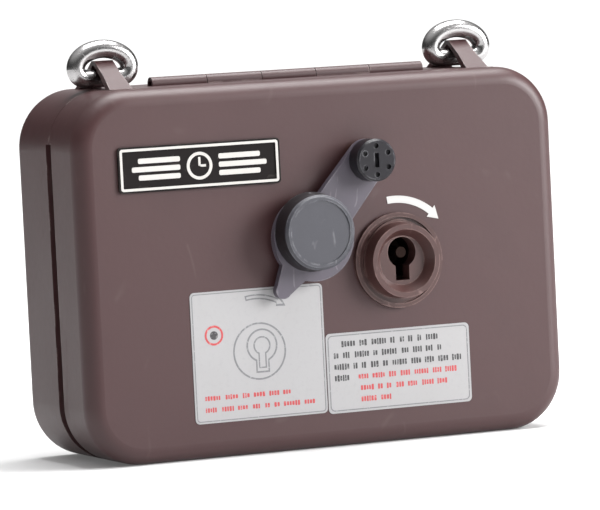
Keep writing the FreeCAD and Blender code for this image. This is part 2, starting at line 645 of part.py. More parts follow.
def cap_pivot():
    """The cap's pivot screw with its drive socket and ring of dimples, its spacer and its nut."""
    at = ("pivot_x", "pivot_z")
    head_back = "-arm_back - arm_t - 0.1"
    head = rod("boss_side", "boss_r", "-boss_proud + boss_edge", head_back, *at)
    edge = taper("boss_bevel", "boss_r - boss_edge", "boss_r", "-boss_proud", "-boss_proud + boss_edge",
                 *at)
    shank = rod("pivot_shank", "pivot_r", head_back, "wall + pivot_nut_t + 1", *at)
    tools = [slab("drive_socket", "pivot_x - socket_w / 2", "pivot_x + socket_w / 2", "-boss_proud - 1",
                  "-boss_proud + 1.4", "pivot_z - socket_l / 2", "pivot_z + socket_l / 2")]
    count = int(value("dimples"))
    ring = value("dimple_ring")
    for number in range(count):
        angle = math.radians(30 + 360 * number / count)
        tools.append(rod(
            f"dimple_{number}", "dimple_r", "-boss_proud - 1", "-boss_proud + dimple_depth",
            f"pivot_x + {ring * math.cos(angle):.4f}", f"pivot_z + {ring * math.sin(angle):.4f}",
        ))
    node("pivot_screw", cut("pivot_screw_shape", join("pivot_blank", head, edge, shank), *tools))
    spacer = rod("spacer_blank", "spacer_r", "-arm_back + 0.1", "0", *at)
    node("pivot_spacer", cut("pivot_spacer_shape", spacer, rod("spacer_bore", "pivot_r", "-arm_back", "1",
                                                               *at)))
    nut = rod("pivot_nut_blank", "pivot_nut_r", "wall", "wall + pivot_nut_t", *at)
    node("pivot_nut", cut("pivot_nut_shape", nut, rod("pivot_nut_bore", "pivot_r", "0", "wall + 9", *at)))


# ---------------------------------------------------------------- chassis
def chassis_corners():
    """The places of the four posts that carry the chassis."""
    return [(f"{x} * post_x", f"chassis_z + {z} * post_dz") for x in SIDES for z in SIDES]


def bridge_corners():
    """The places of the four pillars that carry the front bridge."""
    return [
        (x, z)
        for x in ("bridge_left + pillar_inset", "bridge_right - pillar_inset")
        for z in ("bridge_low + pillar_inset", "bridge_high - pillar_inset")
    ]


def chassis():
    """The chassis plate, the front bridge plate, and what holds them."""
    plate = rounded_block("chassis_blank", "chassis_w", "chassis_h", "chassis_corner", "chassis_front",
                          "chassis_front + chassis_t", z="chassis_z")
    holes = [rod(f"chassis_hole_{number}", "screw_r", "chassis_front - 1", "chassis_front + 9", x, z)
             for number, (x, z) in enumerate(chassis_corners())]
    node("chassis_plate", cut("chassis_plate_shape", plate, *holes))
    screws = []
    for number, (x, z) in enumerate(chassis_corners()):
        head = rod(f"screw_head_{number}", "screw_head_r", "chassis_front - screw_head_t",
                   "chassis_front", x, z)
        shank = rod(f"screw_shank_{number}", "screw_r", "chassis_front", "case_d - wall", x, z)
        screws.append(join(f"chassis_screw_{number}", head, shank))
    node("chassis_screws", group("chassis_screw_set", screws))
    bridge = rounded_block(
        "bridge_blank", "bridge_right - bridge_left", "bridge_high - bridge_low", "bridge_corner",
        "bridge_front",
        "bridge_front + bridge_t", x="(bridge_left + bridge_right) / 2", z="(bridge_low + bridge_high) / 2",
    )
    knob_bore = rod("knob_bore", "clock_shaft_r + 0.06", "bridge_front - 1", "bridge_front + 9",
                    *gear_place(2))
    node("bridge_plate", cut(
        "bridge_plate_shape", bridge,
        rod("key_barrel_bore", "key_barrel_r + key_fit", "bridge_front - 1", "bridge_front + 9", "key_x",
            "key_z"),
        knob_bore,
    ))
    pillars = [rod(f"pillar_{number}", "pillar_r", "bridge_front + bridge_t", "chassis_front", x, z)
               for number, (x, z) in enumerate(bridge_corners())]
    node("bridge_pillars", group("bridge_pillar_set", pillars))
    heads = [rod(f"bridge_screw_{number}", "pillar_r + 0.4", "bridge_front - 1.3", "bridge_front", x, z)
             for number, (x, z) in enumerate(bridge_corners())]
    node("bridge_screws", group("bridge_screw_set", heads))


def striker():
    """The bracket on the chassis whose lip the lock's cam turns behind."""
    span = ("striker_low", "striker_high")
    lip = slab("striker_lip", "striker_left", "striker_right", "striker_front",
               "striker_front + striker_t", *span)
    leg = slab("striker_leg", "striker_right - striker_t", "striker_right", "striker_front",
               "chassis_front", *span)
    foot = slab("striker_foot", "striker_right - striker_t", "striker_right + 6",
                "chassis_front - striker_t",
                "chassis_front", *span)
    node("lock_striker", join("striker_shape", lip, leg, foot))


# ---------------------------------------------------------------- printing works
def key_barrel():
    """The barrel that the station key turns, and the clip that holds it in the bridge plate."""
    at = ("key_x", "key_z")
    body = rod("barrel_body", "key_barrel_r", "barrel_front", "barrel_back", *at)
    flange = rod("barrel_flange", "key_flange_r", "bridge_front + bridge_t + 0.1",
                 "bridge_front + bridge_t + 0.1 + key_flange_t", *at)
    hole = keyhole("barrel_keyhole", "station_hole_r - 0.4", "station_stem_w - 0.4", "station_stem - 0.6",
                   "barrel_front - 1", "barrel_back - 2", *at)
    pin = rod("barrel_pin", "guide_pin_r", "barrel_front + 0.5", "barrel_back - 1", *at)
    node("key_barrel", join("key_barrel_shape", cut("barrel_bored", join("barrel_blank", body, flange),
                                                    hole), pin))
    clip = rod("clip_blank", "clip_r", "bridge_front - 0.1 - clip_t", "bridge_front - 0.1", *at)
    node("barrel_clip", cut("barrel_clip_shape", clip, rod("clip_bore", "key_barrel_r", "0", "case_d",
                                                           *at)))


def type_wheels():
    """The fixed arbor and the three type wheels on it: days, hours and minutes from the front."""
    at = ("key_x", "key_z")
    node("type_arbor", rod("type_arbor_shape", "arbor_r", "arbor_front", "chassis_front", *at))
    bore_r = "arbor_r + wheel_fit"
    for place, (label, count) in enumerate((("day_type_wheel", 31), ("hour_type_wheel", 24),
                                            ("minute_type_wheel", 30))):
        start = f"day_front + {place} * wheel_pitch"
        end = f"{start} + wheel_t"
        wheel = toothed_wheel(label + "_rim", count, value("wheel_r"), value("wheel_root"), start, end, *at)
        parts = [wheel]
        if label == "minute_type_wheel":
            parts.append(rod("minute_sleeve", "gear_hub_r", end, "gear_front", *at))
            parts.append(drive_wheel("minute_gear", 3))
        blank = join(label + "_blank", *parts) if len(parts) > 1 else wheel
        node(label, cut(label + "_shape", blank, rod(label + "_bore", bore_r, "arbor_front - 1", "case_d",
                                                     *at)))


def gear_place(index):
    """The centre of one of the four equal gears that run from the clock drive to the type wheels."""
    return (f"clock_x + (key_x - clock_x) * {index} / 3", f"clock_z + (key_z - clock_z) * {index} / 3")


def drive_wheel(name, index):
    """One of the four equal gears; every second one has a gap where its neighbour has a tooth."""
    across = value("key_x - clock_x")
    up = value("key_z - clock_z")
    pitch_r = math.hypot(across, up) / 6
    teeth = int(value("gear_teeth"))
    phase = math.degrees(math.atan2(up, across)) + (index % 2) * 180 / teeth
    return toothed_wheel(name, teeth, pitch_r + value("gear_add"), pitch_r - value("gear_ded"),
                         "gear_front",
                         "gear_front + gear_t", *gear_place(index), phase=phase)


def geared_shaft(label, index, start, end):
    """A gear pressed on a shaft between two depths, as one piece."""
    at = gear_place(index)
    hub = rod(f"{label}_hub", "gear_hub_r - 1", "gear_front - 1", "gear_front + gear_t + 1", *at)
    shaft = rod(f"{label}_shaft", "clock_shaft_r", start, end, *at)
    node(label, join(f"{label}_shape", drive_wheel(f"{label}_rim", index), hub, shaft))


def gear_train():
    """The drive gear on the clock's shaft, the idler on its stud, and the setting gear with its knob."""
    geared_shaft("drive_gear", 0, "minute_hand_front", "chassis_front - 0.2")
    at = gear_place(1)
    hub = rod("idler_hub", "gear_hub_r - 1", "gear_front - 1", "gear_front + gear_t + 1", *at)
    bore = rod("idler_bore", "clock_shaft_r + wheel_fit", "gear_front - 2", "case_d", *at)
    node("idler_gear", cut("idler_gear_shape", join("idler_blank", drive_wheel("idler_rim", 1), hub), bore))
    geared_shaft("setting_gear", 2, "knob_back - 1", "chassis_front - 0.2")
    at = gear_place(2)
    knob = toothed_wheel("knob_blank", int(value("knob_teeth")), value("knob_r"), value("knob_r - 0.4"),
                         "knob_front", "knob_back", *at)
    bore = rod("knob_socket", "clock_shaft_r", "knob_back - 1", "knob_back + 1", *at)
    node("setting_knob", cut("setting_knob_shape", knob, bore))


def tape_edges(rollers, offset):
    """The straight and round edges of a band's side, kept an offset to the left of its middle line.

    Each roller is (x, z, signed radius): positive where the roller is on the band's right.
    """
    radii = [signed + offset for _, _, signed in rollers]
    tangents = []
    for index in range(len(rollers) - 1):
        first = Vector(rollers[index][0], 0, rollers[index][1])
        second = Vector(rollers[index + 1][0], 0, rollers[index + 1][1])
        line = second - first
        heading = math.atan2(line.z, line.x) - math.asin((radii[index] - radii[index + 1]) / line.Length)
        left = Vector(-math.sin(heading), 0, math.cos(heading))
        tangents.append((first + left * radii[index], second + left * radii[index + 1], left))
    edges = []
    for index, (start, end, left) in enumerate(tangents):
        edges.append(Part.LineSegment(start, end).toShape())
        if index + 1 < len(tangents):
            centre = Vector(rollers[index + 1][0], 0, rollers[index + 1][1])
            after = tangents[index + 1]
            sign = 1 if radii[index + 1] > 0 else -1
            bisector = (left + after[2]) * sign
            if bisector.Length < 0.5:
                bisector = Vector(left.z, 0, -left.x)
            middle = centre + bisector.normalize() * abs(radii[index + 1])
            edges.append(Part.Arc(end, middle, after[0]).toShape())
    return edges


def paper_tape():
    """The tape from the supply roll, over the guide post and the feed roller, to the take-up spool."""
    clear = value("tape_gap + tape_t / 2")
    rollers = [
        (value("supply_x"), value("supply_z"), -(value("supply_r") + clear)),
        (value("guide_x"), value("guide_z"), -(value("guide_r") + clear)),
        (value("feed_x"), value("feed_z"), value("feed_r") + clear),
        (value("takeup_x"), value("takeup_z"), -(value("takeup_r") + clear)),
    ]
    half = value("tape_t / 2")
    one_side = tape_edges(rollers, half)
    other_side = tape_edges(rollers, -half)
    first = Part.Wire(one_side)
    last = Part.Wire(other_side)
    caps = [
        Part.LineSegment(one_side[0].firstVertex().Point, other_side[0].firstVertex().Point).toShape(),
        Part.LineSegment(one_side[-1].lastVertex().Point, other_side[-1].lastVertex().Point).toShape(),
    ]
    outline = Part.Wire(Part.__sortEdges__(first.Edges + last.Edges + caps))
    band = Part.Face(outline).extrude(Y_AXIS * value("tape_w"))
    band.translate(Vector(0, value(depth("tape_front")), 0))
    node("paper_tape", feature("paper_tape_shape", band))


def spools():
    """The supply roll on its core and the take-up spool, each on a fixed spindle."""
    back = "tape_front + tape_w"
    bore = "spindle_r + spindle_fit"
    spindles = []
    at = ("supply_x", "supply_z")
    roll = rod("roll_blank", "supply_r", "tape_front", back, *at)
    node("tape_roll", cut("tape_roll_shape", roll, rod("roll_bore", "core_r", "0", "case_d", *at)))
    core = rod("core_blank", "core_r", "tape_front - 0.4", back + " + 0.4", *at)
    node("roll_core", cut("roll_core_shape", core, rod("core_bore", bore, "0", "case_d", *at)))
    spindles.append(rod("supply_spindle", "spindle_r", "tape_front - 1.5", "chassis_front", *at))
    at = ("takeup_x", "takeup_z")
    hub = rod("spool_hub", "core_r", "tape_front - 0.4", back + " + 0.4", *at)
    front_flange = rod("spool_front", "spool_r", "tape_front - 0.4 - spool_flange_t", "tape_front - 0.4",
                       *at)
    back_flange = rod("spool_back", "spool_r", back + " + 0.4", back + " + 0.4 + spool_flange_t", *at)
    blank = join("spool_blank", hub, front_flange, back_flange)
    node("takeup_spool", cut("takeup_spool_shape", blank, rod("spool_bore", bore, "0", "case_d", *at)))
    wound = rod("wound_blank", "takeup_r", "tape_front", back, *at)
    node("wound_tape", cut("wound_tape_shape", wound, rod("wound_bore", "core_r", "0", "case_d", *at)))
    spindles.append(rod("takeup_spindle", "spindle_r", "tape_front - 2.5", "chassis_front", *at))
    node("spool_spindles", group("spool_spindle_set", spindles))


def tape_feed():
    """The feed roller with its ratchet wheel, and the fixed shafts and guide post of the works."""
    at = ("feed_x", "feed_z")
    back = "tape_front + tape_w"
    roller = rod("feed_blank", "feed_r", "tape_front", back, *at)
    hub = rod("feed_hub", "feed_r - 1", back, "ratchet_front", *at)
    wheel = toothed_wheel("ratchet_rim", int(value("ratchet_teeth")), value("ratchet_r"),
                          value("ratchet_r - 0.8"),
                          "ratchet_front", "ratchet_front + ratchet_t", *at)
    bore = rod("feed_bore", "feed_shaft_r + spindle_fit", "0", "case_d", *at)
    node("feed_roller", cut("feed_roller_shape", join("feed_with_ratchet", roller, hub, wheel), bore))
    between = ("bridge_front + bridge_t", "chassis_front")
    node("works_shafts", group("works_shaft_set", [
        rod("feed_shaft", "feed_shaft_r", *between, *at),
        rod("hammer_pin", "hammer_pin_r", *between, "hammer_x", "hammer_z"),
        rod("guide_post", "guide_r", *between, "guide_x", "guide_z"),
        rod("idler_stud", "clock_shaft_r", "gear_front - 2.5", "chassis_front", *gear_place(1)),
    ]))


def hammer():
    """The print hammer under the type wheels, its rubber pad and its return spring."""
    at = ("hammer_x", "hammer_z")
    hub = rod("hammer_hub", "hammer_hub_r", "hammer_front", "hammer_back", *at)
    arms = []
    for name, start in (("hammer_front_arm", "hammer_front"),
                        ("hammer_back_arm", "hammer_back - hammer_arm_t")):
        arms.append(slab(name, "hammer_x", "platen_right", start, f"{start} + hammer_arm_t", "hammer_low",
                         "hammer_high"))
    platen = slab("platen", "platen_left", "platen_right", "hammer_front", "hammer_back", "hammer_low",
                  "hammer_high")
    bore = rod("hammer_bore", "hammer_pin_r + spindle_fit", "0", "case_d", *at)
    node("print_hammer", cut("print_hammer_shape", join("hammer_blank", hub, platen, *arms), bore))
    node("hammer_pad", slab("hammer_pad_shape", "platen_left + 0.4", "platen_right - 0.4", "hammer_front",
                            "hammer_back", "hammer_high", "hammer_high + pad_t"))
    coils = []
    for turn in range(int(value("spring_turns"))):
        coil = DOC.addObject("Part::Torus", f"spring_coil_{turn}")
        coil.setExpression("Radius1", cells("spring_r"))
        coil.setExpression("Radius2", cells("spring_wire"))
        coils.append(move_to(coil, "hammer_x", depth(f"spring_front + {turn} * 1.9 * spring_wire"),
                             "hammer_z",
                             ALONG_Y))
    node("hammer_spring", join("hammer_spring_shape", *coils))


# ---------------------------------------------------------------- clock drive and power
def hand_blade(reach, front, back, turn):
    """A pointed clock hand about the clock's centre, turned clockwise by an angle in degrees."""
    half = value("hand_w / 2")
    x = value("clock_x")
    z = value("clock_z")
    tail = -1.25 * value("hand_w")
    shoulder = 0.7 * reach
    outline = [(-half, tail), (half, tail), (half, shoulder), (0, reach), (-half, shoulder)]
    angle = math.radians(turn)
    points = [
        (x + across * math.cos(angle) + up * math.sin(angle),
         z - across * math.sin(angle) + up * math.cos(angle))
        for across, up in outline
    ]
    return prism_along_y(points, front, back)


def clock_drive():
    """The sealed quartz module, its dial and the two hands."""
    at = ("clock_x", "clock_z")
    module = rounded_block("module_blank", "module_w", "module_w", "module_corner", "module_front",
                           "module_back",
                           x="clock_x", z="clock_z")
    bore = rod("module_bore", "hour_tube_r + 0.1", "0", "case_d", *at)
    node("quartz_module", cut("quartz_module_shape", module, bore))
    dial = rod("dial_blank", "dial_r", "module_front - dial_t", "module_front", *at)
    node("dial", cut("dial_shape", dial, rod("dial_bore", "hour_tube_r + 0.1", "0", "case_d", *at)))
    for label, front, length, turn in (
        ("hour_hand", "hour_hand_front", "hour_hand_l", -55),
        ("minute_hand", "minute_hand_front", "minute_hand_l", 60),
    ):
        back = f"{front} + hand_t"
        hub_back = back if label == "minute_hand" else "module_back - 2"
        hub = rod(label + "_hub", "hour_tube_r", front, hub_back, *at)
        blade = feature(label + "_blade", hand_blade(value(length), front, back, turn))
        inner = "clock_shaft_r" if label == "minute_hand" else "clock_shaft_r + wheel_fit"
        bore = rod(label + "_bore", inner, "0", "case_d", *at)
        node(label, cut(label + "_shape", join(label + "_blank", hub, blade), bore))


def power():
    """The cell in its open trough, its two contacts, the driver board, and the standoffs."""
    half = "cell_l / 2"
    can = cross_rod("cell_can", "cell_r", f"cell_x - {half}", f"cell_x + {half}", "cell_depth", "cell_z")
    nub = cross_rod("cell_nub", "cell_nub_r", f"cell_x + {half}", f"cell_x + {half} + cell_nub_l",
                    "cell_depth",
                    "cell_z")
    node("battery_cell", join("battery_cell_shape", can, nub))
    wide = "holder_l / 2"
    trough = slab("trough", f"cell_x - {wide}", f"cell_x + {wide}", "holder_front", "chassis_front",
                  "cell_z - holder_h / 2", "cell_z + holder_h / 2")
    inner = "(cell_l / 2 + cell_room)"
    seat = cross_rod("cell_seat", "cell_r + cell_gap", f"cell_x - {inner}", f"cell_x + {inner}",
                     "cell_depth",
                     "cell_z")
    mouth = slab("cell_mouth", f"cell_x - {inner}", f"cell_x + {inner}", "holder_front - 1", "cell_depth",
                 "cell_z - cell_r - cell_gap", "cell_z + cell_r + cell_gap")
    node("battery_holder", cut("battery_holder_shape", trough, seat, mouth))
    wide = "contact_w / 2"
    plate = slab("plus_plate", f"cell_x + {half} + cell_nub_l + contact_gap",
                 f"cell_x + {half} + cell_nub_l + contact_gap + contact_t",
                 f"cell_depth - {wide}", f"cell_depth + {wide}", f"cell_z - {wide}", f"cell_z + {wide}")
    node("plus_contact", plate)
    coils = []
    for turn in range(4):
        coil = DOC.addObject("Part::Torus", f"contact_coil_{turn}")
        coil.setExpression("Radius1", cells(f"coil_r - {turn} * coil_step"))
        coil.setExpression("Radius2", cells("coil_wire"))
        place = f"cell_x - {half} - coil_back + {turn} * coil_step"
        coils.append(move_to(coil, place, depth("cell_depth"), "cell_z", ALONG_X))
    node("minus_spring", join("minus_spring_shape", *coils))
    board = slab("board_blank", "board_x - board_w / 2", "board_x + board_w / 2", "board_front",
                 "board_front + board_t", "board_z - board_h / 2", "board_z + board_h / 2")
    chip = slab("board_chip", "board_x - chip_left", "board_x + chip_right", "board_front - chip_t",
                "board_front", "board_z - chip_low", "board_z + chip_high")
    crystal = cross_rod("board_crystal", "crystal_r", "board_x - crystal_left", "board_x - crystal_right",
                        "board_front - crystal_rise", "board_z - crystal_low")
    node("driver_board", join("driver_board_shape", board, chip, crystal))
    posts = []
    for owner, wide, high, back in (("board", "board_w", "board_h", "board_front + board_t"),
                                    ("clock", "module_w", "module_w", "module_back")):
        for number, (x, z) in enumerate([(x, z) for x in SIDES for z in SIDES]):
            posts.append(rod(
                f"{owner}_post_{number}", "standoff_r", back, "chassis_front",
                f"{owner}_x + {x} * ({wide} / 2 - standoff_inset)",
                f"{owner}_z + {z} * ({high} / 2 - standoff_inset)",
            ))
    node("standoffs", group("standoff_set", posts))


# ---------------------------------------------------------------- check and export
def check_objects():
    """Stop on any object that failed, and on any piece that isn't a set of valid closed solids."""
    for obj in DOC.Objects:
        if "Invalid" in obj.State or "Error" in obj.State:
            raise RuntimeError(f"{obj.Name} ({obj.Label}) failed: {obj.State}")
    for obj in NODES:
        shape = obj.Shape
        if shape.isNull() or not shape.isValid() or not shape.Solids:
            raise RuntimeError(f"{obj.Label} has no valid shape")
        loose = shape.Volume - sum(solid.Volume for solid in shape.Solids)
        if abs(loose) > TINY or min(solid.Volume for solid in shape.Solids) <= 0:
            raise RuntimeError(f"{obj.Label} has a bad volume")


def export():
    """Write each piece to its own file, named after its node."""
    os.makedirs("parts", exist_ok=True)
    for obj in NODES:
        obj.Shape.exportStep(f"parts/{obj.Label}.step")
    print(len(NODES), "nodes")


TINY = 1e-4
SIDES = (-1, 1)
DOC = FreeCAD.newDocument("PatrolClock")
make_sheet()
front_cover()
rear_case()
case_fittings()
strap_ring(-1, "strap_ring_left")
strap_ring(1, "strap_ring_right")
face_labels()
cover_lock()
station_keyhole()
swing_cap()
cap_pivot()
chassis()
striker()
key_barrel()
type_wheels()
gear_train()
paper_tape()
spools()
tape_feed()
hammer()
clock_drive()
power()
DOC.recompute()
check_objects()
export()
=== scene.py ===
import bpy
import json
import math
import random
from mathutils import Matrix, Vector


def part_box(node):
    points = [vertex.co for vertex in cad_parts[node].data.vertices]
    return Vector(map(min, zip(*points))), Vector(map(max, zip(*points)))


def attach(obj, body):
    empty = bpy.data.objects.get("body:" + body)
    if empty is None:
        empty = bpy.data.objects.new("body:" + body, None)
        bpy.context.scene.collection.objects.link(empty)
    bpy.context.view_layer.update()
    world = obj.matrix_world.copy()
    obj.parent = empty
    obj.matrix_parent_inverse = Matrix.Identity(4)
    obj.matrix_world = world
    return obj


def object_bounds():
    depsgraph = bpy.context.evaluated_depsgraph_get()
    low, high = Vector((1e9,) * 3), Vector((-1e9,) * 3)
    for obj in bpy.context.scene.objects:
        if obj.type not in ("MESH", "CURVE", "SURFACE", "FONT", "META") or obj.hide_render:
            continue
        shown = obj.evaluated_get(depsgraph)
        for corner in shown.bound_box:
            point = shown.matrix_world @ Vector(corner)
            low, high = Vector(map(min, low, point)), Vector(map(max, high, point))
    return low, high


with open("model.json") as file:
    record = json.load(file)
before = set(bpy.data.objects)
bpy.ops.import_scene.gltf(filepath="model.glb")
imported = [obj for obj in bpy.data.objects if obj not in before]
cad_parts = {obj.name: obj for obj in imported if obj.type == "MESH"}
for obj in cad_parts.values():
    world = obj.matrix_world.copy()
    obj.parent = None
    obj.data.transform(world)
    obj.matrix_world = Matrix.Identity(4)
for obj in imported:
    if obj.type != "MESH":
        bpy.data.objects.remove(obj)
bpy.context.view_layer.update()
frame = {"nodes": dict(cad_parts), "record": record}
NODES = frame["nodes"]
MM = 0.001


# ---------------------------------------------------------------- procedural materials
class Surface:
    """One procedural material, built node by node around a Principled shader."""

    def __init__(self, name, colour, roughness, metallic=0.0, specular=0.5):
        self.material = bpy.data.materials.new(name)
        self.material.use_nodes = True
        self.tree = self.material.node_tree
        self.shader = self.tree.nodes["Principled BSDF"]
        self.shader.inputs["Metallic"].default_value = metallic
        self.shader.inputs["Specular IOR Level"].default_value = specular
        self.place = self.add("ShaderNodeTexCoord").outputs["Object"]
        self.colour = self.constant(colour)
        self.roughness = self.number(roughness)
        self.normal = None

    def add(self, kind, **settings):
        node = self.tree.nodes.new(kind)
        for key, value in settings.items():
            setattr(node, key, value)
        return node

    def link(self, source, target):
        self.tree.links.new(source, target)

    def feed(self, socket, value):
        """Put a number, a colour or another node's output into a socket."""
        if isinstance(value, bpy.types.NodeSocket):
            self.link(value, socket)
        elif isinstance(value, (tuple, list)) and len(value) == 3 and socket.type == "RGBA":
            socket.default_value = (*value, 1)
        else:
            socket.default_value = value

    def constant(self, colour):
        node = self.add("ShaderNodeRGB")
        node.outputs[0].default_value = (*colour, 1)
        return node.outputs[0]

    def number(self, value):
        node = self.add("ShaderNodeValue")
        node.outputs[0].default_value = value
        return node.outputs[0]

    def math(self, operation, first, second=0.0, clamp=False):
        node = self.add("ShaderNodeMath", operation=operation, use_clamp=clamp)
        self.feed(node.inputs[0], first)
        self.feed(node.inputs[1], second)
        return node.outputs[0]

    def ramp(self, value, low, high, start=0.0, end=1.0):
        """Map a value from one span to another, smoothly and held at both ends."""
        node = self.add("ShaderNodeMapRange", interpolation_type="SMOOTHSTEP")
        for index, item in enumerate((value, low, high, start, end)):
            self.feed(node.inputs[index], item)
        return node.outputs[0]

    def stretched(self, scale):
        node = self.add("ShaderNodeMapping")
        self.link(self.place, node.inputs["Vector"])
        node.inputs["Scale"].default_value = scale
        return node.outputs[0]

    def noise(self, scale, detail=3.0, rough=0.55, stretch=None):
        node = self.add("ShaderNodeTexNoise")
        self.link(self.stretched(stretch) if stretch else self.place, node.inputs["Vector"])
        node.inputs["Scale"].default_value = scale
        node.inputs["Detail"].default_value = detail
        node.inputs["Roughness"].default_value = rough
        return node.outputs["Fac"]

    def edges(self, radius=0.0007, sharp=0.06):
        """How near a point is to a convex edge, from 0 on the flats to 1 on the edge."""
        bevel = self.add("ShaderNodeBevel", samples=4)
        bevel.inputs["Radius"].default_value = radius
        flat = self.add("ShaderNodeNewGeometry").outputs["Normal"]
        dot = self.add("ShaderNodeVectorMath", operation="DOT_PRODUCT")
        self.link(bevel.outputs["Normal"], dot.inputs[0])
        self.link(flat, dot.inputs[1])
        bent = self.math("SUBTRACT", 1.0, dot.outputs["Value"])
        return self.ramp(bent, 0.0, sharp)

    def tint(self, amount, colour, blend="MIX"):
        """Lay a colour over what is there, by an amount."""
        node = self.add("ShaderNodeMix", data_type="RGBA", blend_type=blend)
        self.feed(node.inputs[0], amount)
        self.link(self.colour, node.inputs[6])
        self.feed(node.inputs[7], colour)
        self.colour = node.outputs[2]
        return self

    def roughen(self, amount, by):
        """Raise or lower the roughness by an amount that varies from 0 to 1."""
        self.roughness = self.math("ADD", self.roughness, self.math("MULTIPLY", amount, by), clamp=True)
        return self

    def bump(self, height, strength, distance):
        node = self.add("ShaderNodeBump")
        node.inputs["Strength"].default_value = strength
        node.inputs["Distance"].default_value = distance
        self.link(height, node.inputs["Height"])
        if self.normal is not None:
            self.link(self.normal, node.inputs["Normal"])
        self.normal = node.outputs["Normal"]
        return self

    def scratches(self, scale, stretch, width=0.012, thin=0.55):
        """Fine broken hairlines, from 0 to 1."""
        field = self.noise(scale, 1.0, 0.4, stretch)
        off = self.math("ABSOLUTE", self.math("SUBTRACT", field, 0.5))
        near = self.ramp(off, 0.0, width, 1.0, 0.0)
        patches = self.ramp(self.noise(scale * 1.7, 2.0), thin, thin + 0.1)
        return self.math("MULTIPLY", near, patches)

    def done(self):
        self.link(self.colour, self.shader.inputs["Base Color"])
        self.link(self.roughness, self.shader.inputs["Roughness"])
        if self.normal is not None:
            self.link(self.normal, self.shader.inputs["Normal"])
        return self.material


def case_enamel():
    """Satin brown baked enamel: orange peel, soft mottling and rubbed edges."""
    s = Surface("case_enamel", (0.045, 0.016, 0.017), 0.37)
    s.tint(s.ramp(s.noise(14, 4.0), 0.35, 0.7, 0.0, 0.30), (0.060, 0.026, 0.026))
    s.tint(s.ramp(s.noise(60, 5.0), 0.45, 0.75, 0.0, 0.25), (0.036, 0.013, 0.014))
    scratch = s.scratches(42, (1.0, 1.0, 0.35))
    s.tint(s.math("MULTIPLY", scratch, 0.07), (0.20, 0.16, 0.15))
    worn = s.math("MULTIPLY", s.edges(), s.ramp(s.noise(180, 4.0), 0.46, 0.62))
    s.tint(s.math("MULTIPLY", worn, 0.55), (0.30, 0.24, 0.225))
    s.roughen(s.noise(35, 4.0), 0.10).roughen(scratch, 0.08).roughen(s.noise(420, 2.0), 0.05)
    s.bump(s.noise(620, 2.0, 0.5), 0.10, 0.0002)
    s.bump(s.noise(95, 2.0, 0.5), 0.06, 0.0006)
    return s.done()


def plated(name, colour, roughness, scratch_colour=None):
    """Bright plating with smears and hairline scratches."""
    s = Surface(name, colour, roughness, metallic=1.0)
    smear = s.noise(110, 5.0, 0.6)
    s.tint(s.ramp(smear, 0.45, 0.75, 0.0, 0.35), tuple(c * 0.72 for c in colour))
    scratch = s.scratches(260, (1.0, 0.3, 1.0), 0.02, 0.5)
    if scratch_colour:
        s.tint(s.math("MULTIPLY", scratch, 0.5), scratch_colour)
    s.roughen(smear, 0.16).roughen(scratch, 0.2)
    s.bump(scratch, 0.12, 0.00005)
    s.bump(s.noise(900, 2.0), 0.05, 0.00005)
    return s.done()


def brushed(name, colour, roughness, grain=(1.0, 1.0, 22.0), stain=None):
    """Metal with a fine directional grain and faint stains."""
    s = Surface(name, colour, roughness, metallic=1.0)
    lines = s.noise(70, 4.0, 0.7, grain)
    s.tint(s.ramp(lines, 0.35, 0.7, 0.0, 0.35), tuple(c * 0.7 for c in colour))
    blotch = s.noise(55, 4.0)
    s.tint(s.ramp(blotch, 0.5, 0.75, 0.0, 0.45), stain or tuple(c * 0.55 for c in colour))
    s.roughen(lines, 0.14).roughen(blotch, 0.14)
    s.bump(lines, 0.16, 0.00006)
    return s.done()


def painted(name, colour, roughness, chip, fleck=0.2, peel=0.12, specular=0.5, shade_behind=None):
    """Satin or gloss paint over metal, chipped along its edges, with painted shade: near black behind a
    depth if given one.
    """
    s = Surface(name, colour, roughness, specular=specular)
    s.tint(s.ramp(s.noise(90, 4.0), 0.4, 0.72, 0.0, fleck), tuple(min(1.0, c * 1.45) for c in colour))
    if shade_behind is not None:
        # Painted shade: everything behind the given depth turns near black, standing in for the shade on a
        # side wall
        along = s.add("ShaderNodeSeparateXYZ")
        s.link(s.place, along.inputs[0])
        s.tint(s.ramp(along.outputs["Y"], shade_behind, shade_behind + 0.0006), (0.006, 0.004, 0.006))
    worn = s.math("MULTIPLY", s.edges(0.0006), s.ramp(s.noise(260, 4.0), 0.42, 0.6))
    s.tint(s.math("MULTIPLY", worn, 0.38), chip)
    scratch = s.scratches(120, (1.0, 1.0, 0.4), 0.015, 0.52)
    s.tint(s.math("MULTIPLY", scratch, 0.25), chip)
    s.roughen(s.noise(60, 4.0), 0.12).roughen(scratch, 0.15)
    s.bump(s.noise(700, 2.0), peel, 0.00015)
    return s.done()


def moulded(name, colour, roughness, grain=0.3):
    """Moulded plastic with a fine spark-eroded grain."""
    s = Surface(name, colour, roughness)
    s.tint(s.ramp(s.noise(50, 4.0), 0.4, 0.7, 0.0, 0.3), tuple(min(1.0, c * 1.35) for c in colour))
    s.tint(s.math("MULTIPLY", s.edges(0.0004), 0.35), tuple(min(1.0, c * 1.9 + 0.02) for c in colour))
    s.roughen(s.noise(300, 3.0), 0.12)
    s.bump(s.noise(1500, 2.0), grain, 0.0001)
    return s.done()


def rubber():
    """Matt black rubber with a dusty bloom."""
    s = Surface("black_rubber", (0.018, 0.017, 0.017), 0.72, specular=0.3)
    s.tint(s.ramp(s.noise(120, 5.0), 0.45, 0.75, 0.0, 0.5), (0.05, 0.048, 0.046))
    s.bump(s.noise(1100, 3.0), 0.35, 0.0001)
    return s.done()


